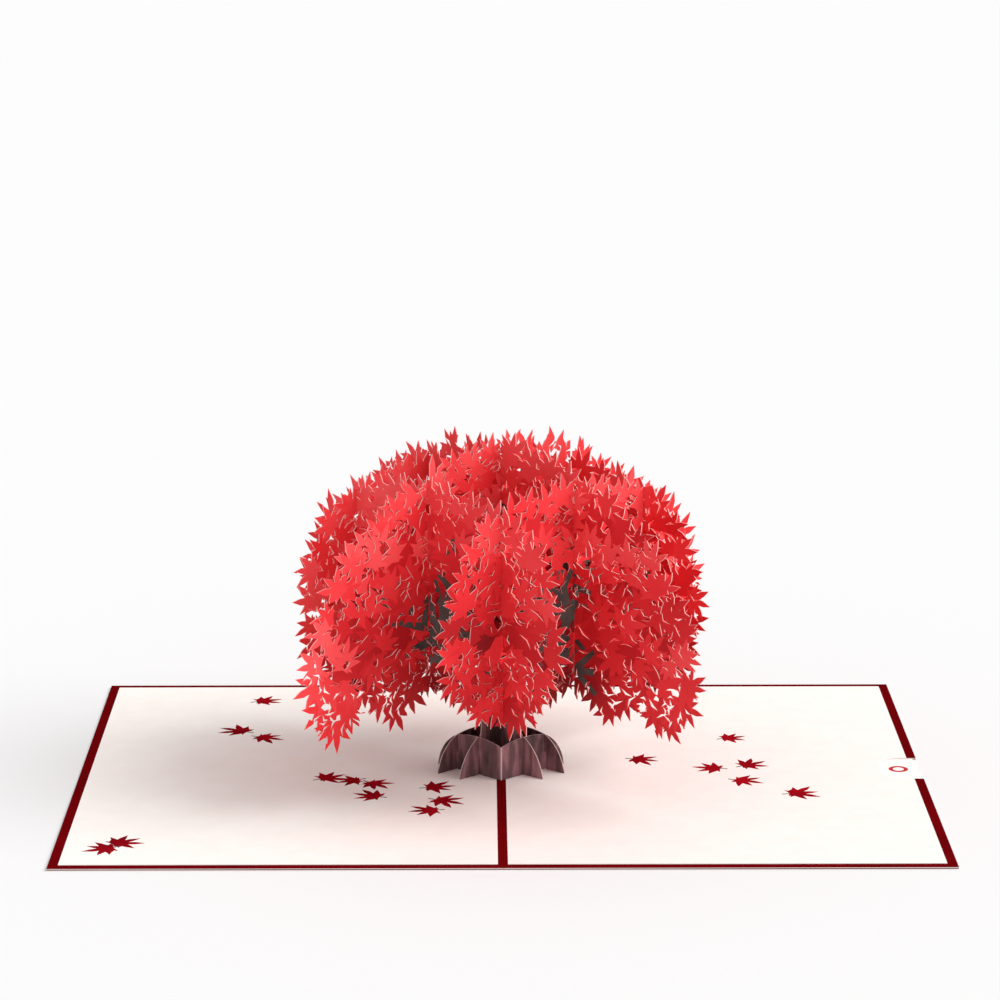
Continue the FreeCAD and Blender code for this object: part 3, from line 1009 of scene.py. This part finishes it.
class CARD_OT_stage(bpy.types.Operator):
    """Set up the floor, the lamps, the world and the camera"""

    bl_idname = "card.stage"
    bl_label = "Stage"

    def execute(self, context):
        scene = context.scene
        scene.view_settings.view_transform = "Standard"
        bm = bmesh.new()
        bmesh.ops.create_grid(bm, x_segments=1, y_segments=1, size=FLOOR_HALF)
        mesh = bpy.data.meshes.new("floor")
        bm.to_mesh(mesh)
        bm.free()
        floor = bpy.data.objects.new("floor", mesh)
        scene.collection.objects.link(floor)
        mesh.materials.append(floor_material())
        set_world(scene)
        add_sun(scene)
        data = bpy.data.cameras.new("camera")
        data.sensor_width = SENSOR_WIDTH
        data.lens = SENSOR_WIDTH * LENS_WIDTHS
        data.clip_end = 20.0
        camera = bpy.data.objects.new("camera", data)
        camera.location = CAMERA_PLACE
        camera.rotation_euler = (math.radians(90 - CAMERA_DOWN), 0, math.radians(CAMERA_ROUND))
        scene.collection.objects.link(camera)
        scene.camera = camera
        return {"FINISHED"}


class CARD_PT_panel(bpy.types.Panel):
    """Lists the card's operators and settings"""

    bl_label = "Pop Up Card"
    bl_space_type = "VIEW_3D"
    bl_region_type = "UI"
    bl_category = "Card"

    def draw(self, context):
        for operator in OPERATORS:
            self.layout.operator(operator.bl_idname)
        for group in (context.scene.card_foliage, context.scene.card_colours):
            for name in group.__annotations__:
                self.layout.prop(group, name)


GROUPS = (CardColours, FoliageSizes)
OPERATORS = (CARD_OT_sheets, CARD_OT_liners, CARD_OT_foliage, CARD_OT_roots, CARD_OT_stage)


def register():
    """Add the classes and the scene's settings."""
    for item in GROUPS + OPERATORS + (CARD_PT_panel,):
        bpy.utils.register_class(item)
    bpy.types.Scene.card_colours = bpy.props.PointerProperty(type=CardColours)
    bpy.types.Scene.card_foliage = bpy.props.PointerProperty(type=FoliageSizes)


def unregister():
    """Take the settings and the classes away again."""
    del bpy.types.Scene.card_foliage
    del bpy.types.Scene.card_colours
    for item in reversed(GROUPS + OPERATORS + (CARD_PT_panel,)):
        bpy.utils.unregister_class(item)


def main():
    """Dress the card and set the stage."""
    register()
    bpy.ops.card.sheets()
    bpy.ops.card.liners()
    bpy.ops.card.foliage()
    bpy.ops.card.roots()
    bpy.ops.card.stage()


if __name__ == "__main__":
    main()
